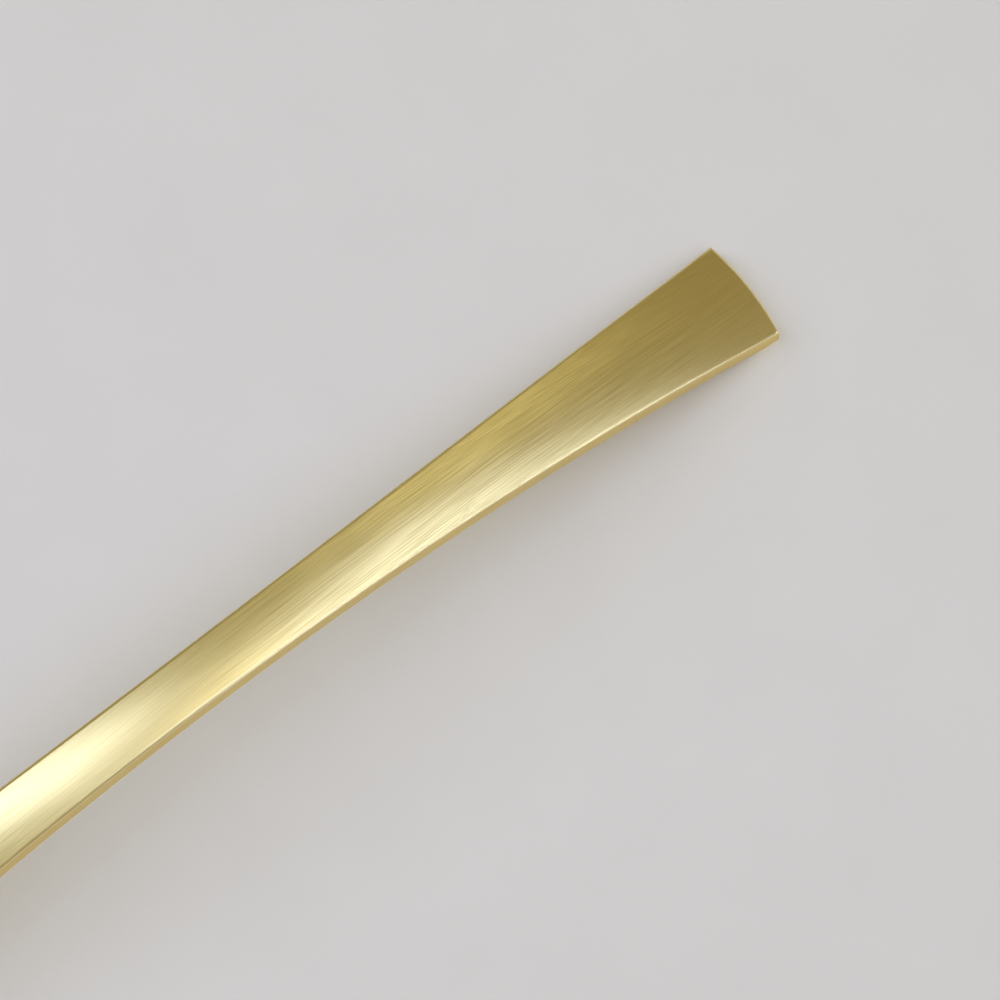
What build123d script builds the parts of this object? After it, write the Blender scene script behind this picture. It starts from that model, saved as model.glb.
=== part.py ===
"""Bow pull handle for a drawer or cabinet door: one cast bar with a tapped foot at each end.

The bar is a crowned section turned about the bow's axis. Its sides are hollow arcs in plan, so it
flares from a slim waist to wide tips. The tips end upright, in a slight curve from corner to corner,
and are flat where they meet the door. A round boss under each tip reaches the same flat and takes a
fixing screw from behind.

Frame: the origin is on the mounting face, midway between the screws. +X runs along the handle and
+Z points away from the door.
"""

import math
import os

from build123d import *

# Driving dimensions, in millimetres
HOLE_CENTRES = 192.0  # between the two fixing screws
TIP_OVERHANG = 7.7  # from a screw's axis to the tip beyond it
PROJECTION = 29.5  # mounting face to the top of the bow
TIP_HEIGHT = 5.6  # mounting face to the top of the crown at the tips
TIP_BULGE = 0.6  # how far the middle of a tip stands out beyond its corners
END_WIDTH = 16.4  # across the tips, corner to corner
WAIST_WIDTH = 8.5  # across the middle of the bow
BAR_THICKNESS = 7.0  # through the middle of the crown, square to the bow
CROWN_RADIUS = 28.0  # of the bar's rounded top, across its width

# Edge radii
RIM_RADIUS = 0.6  # all round the crowned top
GRIP_RADIUS = 0.8  # lower edges, where the fingers curl round

# Feet, with blind holes for M4 screws
BOSS_DIAMETER = 10.0
BOSS_ROOT_RADIUS = 0.8
THREAD_DIAMETER = 4.0
HOLE_DEPTH = 5.5  # from the mounting face to the end of the straight wall
DRILL_POINT_ANGLE = 118.0
MOUTH_CHAMFER = 0.5

# How far a body that cuts or is cut away reaches past the finished form
SPARE = 5.0

# The bow's arc runs through the crown at the middle and at both tips
HALF_LENGTH = HOLE_CENTRES / 2 + TIP_OVERHANG
BOW_RISE = PROJECTION - TIP_HEIGHT
BOW_RADIUS = (HALF_LENGTH**2 + BOW_RISE**2) / (2 * BOW_RISE)
BOW_AXIS = Axis((0, 0, PROJECTION - BOW_RADIUS), (0, 1, 0))
BLANK_HALF_ANGLE = math.degrees(math.asin((HALF_LENGTH + SPARE) / BOW_RADIUS))


def crown_height(y):
    """Height of the crowned top above the mounting face at the middle of the bow."""
    return PROJECTION - CROWN_RADIUS + math.sqrt(CROWN_RADIUS**2 - y**2)


def turned_along_bow(section):
    """A section that stands at the middle of the bow, turned about the bow's axis to past both tips."""
    start = section.rotate(BOW_AXIS, -BLANK_HALF_ANGLE)
    return revolve(start, BOW_AXIS, 2 * BLANK_HALF_ANGLE)


def crowned_blank():
    """The bar's crowned top and plain underside, wider and longer than the bar."""
    side = END_WIDTH / 2 + SPARE
    shoulder = crown_height(side)
    underside = PROJECTION - BAR_THICKNESS
    crown = ThreePointArc((-side, shoulder), (0, PROJECTION), (side, shoulder))
    rest = Polyline((side, shoulder), (side, underside), (-side, underside), (-side, shoulder))
    return turned_along_bow(Plane.YZ * make_face([crown, rest]))


def flared_prism():
    """Everything within the handle's outline in plan: two hollow sides between two gently rounded tips."""
    corner = HALF_LENGTH - TIP_BULGE
    end = END_WIDTH / 2
    waist = WAIST_WIDTH / 2
    back = ThreePointArc((-corner, end), (0, waist), (corner, end))
    right = ThreePointArc((corner, end), (HALF_LENGTH, 0), (corner, -end))
    front = ThreePointArc((corner, -end), (0, -waist), (-corner, -end))
    left = ThreePointArc((-corner, -end), (-HALF_LENGTH, 0), (-corner, end))
    plan = make_face([back, right, front, left])
    return Pos(0, 0, -SPARE) * extrude(plan, PROJECTION + 2 * SPARE)


def rounded_bar():
    """The flared bar with its rim and lower edges rounded, before it is cut flat for the door."""
    bar = crowned_blank() & flared_prism()
    top = bar.faces().sort_by(Axis.Z)[-1]
    bar = fillet(top.edges(), RIM_RADIUS)
    underside = min(bar.faces(), key=lambda face: face.normal_at().Z)
    return fillet(underside.edges(), GRIP_RADIUS)


def screw_bosses():
    """A round boss behind each tip, from the mounting face up into the middle of the bar."""
    width = BOSS_DIAMETER + 2 * SPARE
    middle = PROJECTION - BAR_THICKNESS / 2
    reach = turned_along_bow(Plane.YZ * Pos(0, middle - PROJECTION / 2) * Rectangle(width, PROJECTION))
    post = Pos(HOLE_CENTRES / 2, 0) * extrude(Circle(BOSS_DIAMETER / 2), PROJECTION)
    boss = post & reach
    return [boss, mirror(boss, Plane.YZ)]


def tapped_holes():
    """The space of the two blind holes: chamfered mouth, straight wall and drill point."""
    radius = THREAD_DIAMETER / 2
    point = radius / math.tan(math.radians(DRILL_POINT_ANGLE / 2))
    outline = Polyline(
        (0, 0),
        (radius + MOUTH_CHAMFER, 0),
        (radius, MOUTH_CHAMFER),
        (radius, HOLE_DEPTH),
        (0, HOLE_DEPTH + point),
        close=True,
    )
    hole = Pos(HOLE_CENTRES / 2, 0) * revolve(Plane.XZ * make_face(outline), Axis.Z)
    return [hole, mirror(hole, Plane.YZ)]


def bow_handle():
    """The finished handle: the bar cut flat for the door, its blended bosses and their holes."""
    bar = split(rounded_bar(), Plane.XY, keep=Keep.TOP)
    bosses = screw_bosses()
    footed = bar + bosses
    roots = new_edges(bar, *bosses, combined=footed)
    return fillet(roots, BOSS_ROOT_RADIUS) - tapped_holes()


os.makedirs("parts", exist_ok=True)
export_step(bow_handle(), "parts/bow_handle.step")
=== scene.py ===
"""Looks of the bow pull handle: brushed brass, threads in its feet, a pale floor and soft studio light."""

import math

import bmesh
import bpy
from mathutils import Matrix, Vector


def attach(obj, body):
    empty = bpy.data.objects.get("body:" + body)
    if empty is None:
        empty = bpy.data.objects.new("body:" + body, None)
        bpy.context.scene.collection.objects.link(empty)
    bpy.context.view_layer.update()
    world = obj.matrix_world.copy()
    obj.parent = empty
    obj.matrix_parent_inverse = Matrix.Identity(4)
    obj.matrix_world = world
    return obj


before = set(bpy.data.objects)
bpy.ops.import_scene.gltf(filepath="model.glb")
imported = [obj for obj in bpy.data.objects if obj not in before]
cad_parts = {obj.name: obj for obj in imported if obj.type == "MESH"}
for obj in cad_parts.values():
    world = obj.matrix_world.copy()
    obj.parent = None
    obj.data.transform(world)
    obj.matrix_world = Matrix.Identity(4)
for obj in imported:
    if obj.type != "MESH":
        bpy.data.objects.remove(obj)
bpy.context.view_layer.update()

# The bow, in metres: its arc runs through the crown at the middle and at both tips
HALF_LENGTH = 0.1037
PROJECTION = 0.0295
TIP_HEIGHT = 0.0056
BOW_RISE = PROJECTION - TIP_HEIGHT
BOW_RADIUS = (HALF_LENGTH**2 + BOW_RISE**2) / (2 * BOW_RISE)
BOW_AXIS_HEIGHT = PROJECTION - BOW_RADIUS

# M4 threads in the feet, whose ridges have the standard shares of the pitch
HOLE_CENTRES = 0.192
THREAD_RADIUS = 0.002
THREAD_PITCH = 0.0007
THREAD_BOTTOM = 0.0006
THREAD_TOP = 0.0052
THREAD_TURNS = (THREAD_TOP - THREAD_BOTTOM) / THREAD_PITCH
RIDGE_DEPTH = 0.541 * THREAD_PITCH
RIDGE_FOOT = 0.4375 * THREAD_PITCH  # half its width at the wall
RIDGE_CREST = 0.125 * THREAD_PITCH  # half its width at the top
RIDGE_SUNK = 2e-5  # into the wall of the hole
RUN_OUT = 0.25  # turns over which the ridge fades at each end
RIDGE_AT_ENDS = 0.02  # share of its depth at its very ends
STEPS_PER_TURN = 48

# Course of the brush, which slants a little across the bar and wanders
BRUSH_SLANT = 0.022  # sideways for each metre along
BRUSH_WANDER = 0.0006
WANDER_LENGTH = 0.030
WANDER_WIDTH = 0.006

# Pressure of the brush along the bow
HEAVY_STROKE = 0.048  # where it is heaviest
STROKE_LENGTH = 0.12  # from one heavy place to the next
PRESSURE_MEAN = 0.62
PRESSURE_SWING = 0.38

# Marks of the brush: broad faint patches and fine scratches
PATCH_LENGTH = 0.030
PATCH_WIDTH = 0.0010
PATCH_DETAIL = 1.0
PATCH_SHARE = 0.08
SCRATCH_LENGTH = 0.012
SCRATCH_WIDTH = 0.00016
SCRATCH_DETAIL = 0.5
SCRATCH_DEPTH = 1.3e-5
MARK_SWING = 0.12  # how far a mark is from the mean at full tone
NOISE_MEAN = 0.5

# Brass, in the dark and the bright marks
BRASS_DARK = (0.735, 0.60, 0.29, 1.0)
BRASS_BRIGHT = (0.98, 0.835, 0.465, 1.0)
BRASS_EDGE_TINT = (0.96, 0.83, 0.51, 1.0)
ROUGHNESS_DARK = 0.30
ROUGHNESS_BRIGHT = 0.285
ANISOTROPY = 0.45
QUARTER_TURN = 0.25

# Floor
FLOOR_SIZE = 6.0
FLOOR_DARK = (0.865, 0.835, 0.845, 1.0)
FLOOR_LIGHT = (0.905, 0.875, 0.885, 1.0)
FLOOR_ROUGHNESS = 0.8
FLOOR_PATCHES_PER_METRE = 60.0

# Studio light
SOFTBOX_DISTANCE = 1.0
COOL = (0.856, 1.0, 1.39)
WARM = (1.0, 0.95, 0.6)
AMBER = (1.0, 0.87, 0.55)
SURROUNDINGS_LOW = (0.289, 0.240, 0.109, 1.0)
SURROUNDINGS_OVERHEAD = (0.369, 0.334, 0.155, 1.0)
SURROUNDINGS_CURVE = 2.9  # a higher value gathers the light overhead

# The camera looks steeply down on one half of the handle
CAMERA_TARGET = Vector((0.05592, -0.002285, 0.001))
CAMERA_AZIMUTH = -37.70
CAMERA_ELEVATION = 79.87
CAMERA_DISTANCE = 1.0467
CAMERA_FIELD = 8.0


class Tree:
    """Short calls for building a node tree."""

    def __init__(self, owner):
        owner.use_nodes = True
        self.nodes = owner.node_tree.nodes
        self.links = owner.node_tree.links
        self.nodes.clear()

    def add(self, kind, inputs=None, **settings):
        """Adds a node, sets its settings, and sets or links its inputs."""
        node = self.nodes.new(kind)
        for name, value in settings.items():
            setattr(node, name, value)
        for key, value in (inputs or {}).items():
            if isinstance(value, bpy.types.NodeSocket):
                self.links.new(value, node.inputs[key])
            else:
                node.inputs[key].default_value = value
        return node

    def math(self, operation, a, b=0.0):
        """A math node's result."""
        return self.add("ShaderNodeMath", {0: a, 1: b}, operation=operation).outputs[0]

    def scaled(self, value, low, high):
        """A value, held between 0 and 1, brought to the range from low to high."""
        return self.add("ShaderNodeMapRange", {"Value": value, "To Min": low, "To Max": high}).outputs[0]

    def blend(self, share, start, end):
        """A colour between two colours."""
        inputs = {"Factor": share, "A": start, "B": end}
        return self.add("ShaderNodeMix", inputs, data_type="RGBA").outputs["Result"]

    def noise(self, vector, detail=2.0):
        """A noise texture's value, from 0 to 1."""
        inputs = {"Vector": vector, "Scale": 1.0, "Detail": detail}
        return self.add("ShaderNodeTexNoise", inputs).outputs["Fac"]


def bow_coordinates(tree):
    """Place along the bow, across the bar and out from the bow's axis, and the direction along the bow."""
    place = tree.add("ShaderNodeTexCoord").outputs["Object"]
    x, y, z = tree.add("ShaderNodeSeparateXYZ", {0: place}).outputs
    rise = tree.math("SUBTRACT", z, BOW_AXIS_HEIGHT)
    along = tree.math("MULTIPLY", tree.math("ARCTAN2", x, rise), BOW_RADIUS)
    out = tree.math("SQRT", tree.math("ADD", tree.math("POWER", x, 2.0), tree.math("POWER", rise, 2.0)))
    heading = tree.add("ShaderNodeCombineXYZ", {0: rise, 2: tree.math("MULTIPLY", x, -1.0)}).outputs[0]
    return (along, y, out), heading


def streaks(tree, bow, length, width, detail=2.0):
    """Noise drawn out along the bow, for marks of about that length and width."""
    along, across, out = bow
    vector = tree.add(
        "ShaderNodeCombineXYZ",
        {
            0: tree.math("DIVIDE", along, length),
            1: tree.math("DIVIDE", across, width),
            2: tree.math("DIVIDE", out, width),
        },
    ).outputs[0]
    return tree.noise(vector, detail)


def brush_course(tree, bow):
    """The bow's coordinates, bent to the slanting course of the brush on the crown and on the walls."""
    along, across, out = bow
    slant = tree.math("MULTIPLY", along, BRUSH_SLANT)
    drift = tree.math("SUBTRACT", streaks(tree, bow, WANDER_LENGTH, WANDER_WIDTH), NOISE_MEAN)
    aside = tree.math("ADD", slant, tree.math("MULTIPLY", drift, BRUSH_WANDER))
    facing = tree.add("ShaderNodeTexCoord").outputs["Normal"]
    sideways = tree.add("ShaderNodeSeparateXYZ", {0: facing}).outputs[1]
    wall = tree.math("POWER", sideways, 2.0)
    crown = tree.math("SUBTRACT", 1.0, wall)
    on_crown = tree.math("MULTIPLY", tree.math("SUBTRACT", across, aside), crown)
    on_wall = tree.math("MULTIPLY", tree.math("SUBTRACT", out, aside), wall)
    return along, on_crown, on_wall


def brush_pressure(tree, along):
    """How hard the brush bore down: most between the middle and the tips."""
    stroke = tree.math("MULTIPLY", tree.math("SUBTRACT", along, HEAVY_STROKE), math.tau / STROKE_LENGTH)
    swing = tree.math("MULTIPLY", tree.math("COSINE", stroke), PRESSURE_SWING)
    return tree.math("ADD", swing, PRESSURE_MEAN)


def mark_tone(tree, patch, scratch, pressure):
    """How bright the brush marks are, from 0 to 1."""
    broad = tree.math("MULTIPLY", patch, PATCH_SHARE)
    fine = tree.math("MULTIPLY", scratch, 1.0 - PATCH_SHARE)
    mixed = tree.math("ADD", broad, fine)
    marks = tree.math("MULTIPLY", tree.math("SUBTRACT", mixed, NOISE_MEAN), pressure)
    inputs = {"Value": marks, "From Min": -MARK_SWING, "From Max": MARK_SWING}
    return tree.add("ShaderNodeMapRange", inputs).outputs[0]


def brushed_brass():
    """Satin brass, brushed along the bow."""
    material = bpy.data.materials.new("brushed_brass")
    tree = Tree(material)
    bow, heading = bow_coordinates(tree)
    course = brush_course(tree, bow)
    patch = streaks(tree, course, PATCH_LENGTH, PATCH_WIDTH, PATCH_DETAIL)
    scratch = streaks(tree, course, SCRATCH_LENGTH, SCRATCH_WIDTH, SCRATCH_DETAIL)
    pressure = brush_pressure(tree, bow[0])
    tone = mark_tone(tree, patch, scratch, pressure)
    bump = tree.add("ShaderNodeBump", {"Strength": pressure, "Distance": SCRATCH_DEPTH, "Height": scratch})
    shader = tree.add(
        "ShaderNodeBsdfPrincipled",
        {
            "Base Color": tree.blend(tone, BRASS_DARK, BRASS_BRIGHT),
            "Metallic": 1.0,
            "Roughness": tree.scaled(tone, ROUGHNESS_DARK, ROUGHNESS_BRIGHT),
            "Anisotropic": ANISOTROPY,
            "Anisotropic Rotation": QUARTER_TURN,
            "Tangent": heading,
            "Specular Tint": BRASS_EDGE_TINT,
            "Normal": bump.outputs[0],
        },
    )
    tree.add("ShaderNodeOutputMaterial", {"Surface": shader.outputs[0]})
    return material


def thread_ring(mesh, x, turn):
    """The four corners of the thread's ridge after some turns from its lower end."""
    share = min(1.0, turn / RUN_OUT, (THREAD_TURNS - turn) / RUN_OUT)
    wall = THREAD_RADIUS + RIDGE_SUNK
    top = wall - max(share, RIDGE_AT_ENDS) * (RIDGE_DEPTH + RIDGE_SUNK)
    angle = turn * math.tau
    height = THREAD_BOTTOM + turn * THREAD_PITCH
    corners = ((wall, -RIDGE_FOOT), (top, -RIDGE_CREST), (top, RIDGE_CREST), (wall, RIDGE_FOOT))
    ring = []
    for radius, lift in corners:
        place = (x + radius * math.cos(angle), radius * math.sin(angle), height + lift)
        ring.append(mesh.verts.new(place))
    return ring


def cut_thread(name, x, brass):
    """The ridge of an M4 thread, winding up the wall of a screw hole."""
    mesh = bmesh.new()
    steps = round(THREAD_TURNS * STEPS_PER_TURN)
    rings = [thread_ring(mesh, x, step / STEPS_PER_TURN) for step in range(steps + 1)]
    for low, high in zip(rings, rings[1:]):
        for corners in zip(low, low[1:] + low[:1], high[1:] + high[:1], high):
            mesh.faces.new(corners)
    mesh.faces.new(rings[0])
    mesh.faces.new(reversed(rings[-1]))
    bmesh.ops.recalc_face_normals(mesh, faces=mesh.faces)
    data = bpy.data.meshes.new(name)
    mesh.to_mesh(data)
    mesh.free()
    data.materials.append(brass)
    thread = bpy.data.objects.new(name, data)
    bpy.context.collection.objects.link(thread)
    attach(thread, "root")


def pale_floor():
    """A plain pale floor."""
    material = bpy.data.materials.new("pale_floor")
    tree = Tree(material)
    place = tree.add("ShaderNodeTexCoord").outputs["Object"]
    spread = {0: place, "Scale": FLOOR_PATCHES_PER_METRE}
    patches = tree.noise(tree.add("ShaderNodeVectorMath", spread, operation="SCALE").outputs[0])
    paint = {"Base Color": tree.blend(patches, FLOOR_DARK, FLOOR_LIGHT), "Roughness": FLOOR_ROUGHNESS}
    shader = tree.add("ShaderNodeBsdfPrincipled", paint)
    tree.add("ShaderNodeOutputMaterial", {"Surface": shader.outputs[0]})
    bpy.ops.mesh.primitive_plane_add(size=FLOOR_SIZE)
    floor = bpy.context.object
    floor.name = "floor"
    floor.data.materials.append(material)


def softbox(name, colour, radiance, lean, size, on_floor=True, in_brass=True):
    """An area light turned to the handle, which leans that far to the picture's right and up."""
    right, up = lean
    width, height = size
    a = math.radians(CAMERA_AZIMUTH)
    picture_right = Vector((math.cos(a), math.sin(a), 0.0))
    picture_up = Vector((-math.sin(a), math.cos(a), 0.0))
    towards = picture_right * right + picture_up * up
    towards.z = math.sqrt(1.0 - right**2 - up**2)
    light = bpy.data.lights.new(name, "AREA")
    light.shape = "RECTANGLE"
    light.size = width
    light.size_y = height
    light.energy = radiance * math.pi * width * height
    light.color = colour
    lamp = bpy.data.objects.new(name, light)
    lamp.location = CAMERA_TARGET + SOFTBOX_DISTANCE * towards
    lamp.rotation_euler = towards.to_track_quat("Z", "Y").to_euler()
    lamp.visible_diffuse = on_floor
    lamp.visible_glossy = in_brass
    bpy.context.collection.objects.link(lamp)


def studio_softboxes():
    """The lights: two show in the brass alone, one lights the floor alone, and the others do both."""
    softbox("softbox_left", COOL, radiance=2.30, lean=(-0.55, 0.072), size=(0.264, 1.0))
    softbox("softbox_right", COOL, radiance=1.39, lean=(0.512, -0.165), size=(0.894, 0.886), on_floor=False)
    softbox("softbox_edge", COOL, radiance=3.5, lean=(0.818, -0.52), size=(0.38, 0.44), on_floor=False)
    softbox("softbox_far", WARM, radiance=0.36, lean=(0.115, 0.655), size=(0.49, 0.49))
    softbox("softbox_warm", AMBER, radiance=1.35, lean=(0.162, -0.095), size=(0.218, 0.218))
    softbox("softbox_top", COOL, radiance=1.52, lean=(0.17, -0.06), size=(0.8, 0.8), in_brass=False)


def studio_world():
    """Dim warm surroundings, lighter overhead."""
    world = bpy.data.worlds.new("studio")
    bpy.context.scene.world = world
    tree = Tree(world)
    way = tree.add("ShaderNodeTexCoord").outputs["Generated"]
    height = tree.add("ShaderNodeSeparateXYZ", {0: way}).outputs[2]
    overhead = tree.math("POWER", tree.scaled(height, 0.0, 1.0), SURROUNDINGS_CURVE)
    colour = tree.blend(overhead, SURROUNDINGS_LOW, SURROUNDINGS_OVERHEAD)
    light = tree.add("ShaderNodeBackground", {"Color": colour, "Strength": 1.0})
    tree.add("ShaderNodeOutputWorld", {"Surface": light.outputs[0]})


def direction(azimuth, elevation):
    """Unit vector towards a point seen at an azimuth and an elevation, in degrees."""
    a = math.radians(azimuth)
    e = math.radians(elevation)
    return Vector((math.sin(a) * math.cos(e), -math.cos(a) * math.cos(e), math.sin(e)))


def camera():
    """The camera at the photograph's viewing angle."""
    lens = bpy.data.cameras.new("camera")
    lens.sensor_fit = "HORIZONTAL"
    lens.angle = math.radians(CAMERA_FIELD)
    view = bpy.data.objects.new("camera", lens)
    back = direction(CAMERA_AZIMUTH, CAMERA_ELEVATION)
    view.location = CAMERA_TARGET + CAMERA_DISTANCE * back
    view.rotation_euler = back.to_track_quat("Z", "Y").to_euler()
    bpy.context.collection.objects.link(view)
    bpy.context.scene.camera = view


brass = brushed_brass()
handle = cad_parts["bow_handle"]
handle.data.materials.clear()
handle.data.materials.append(brass)
cut_thread("thread_left", -HOLE_CENTRES / 2, brass)
cut_thread("thread_right", HOLE_CENTRES / 2, brass)

pale_floor()
studio_softboxes()
studio_world()
camera()
bpy.context.scene.view_settings.view_transform = "Standard"
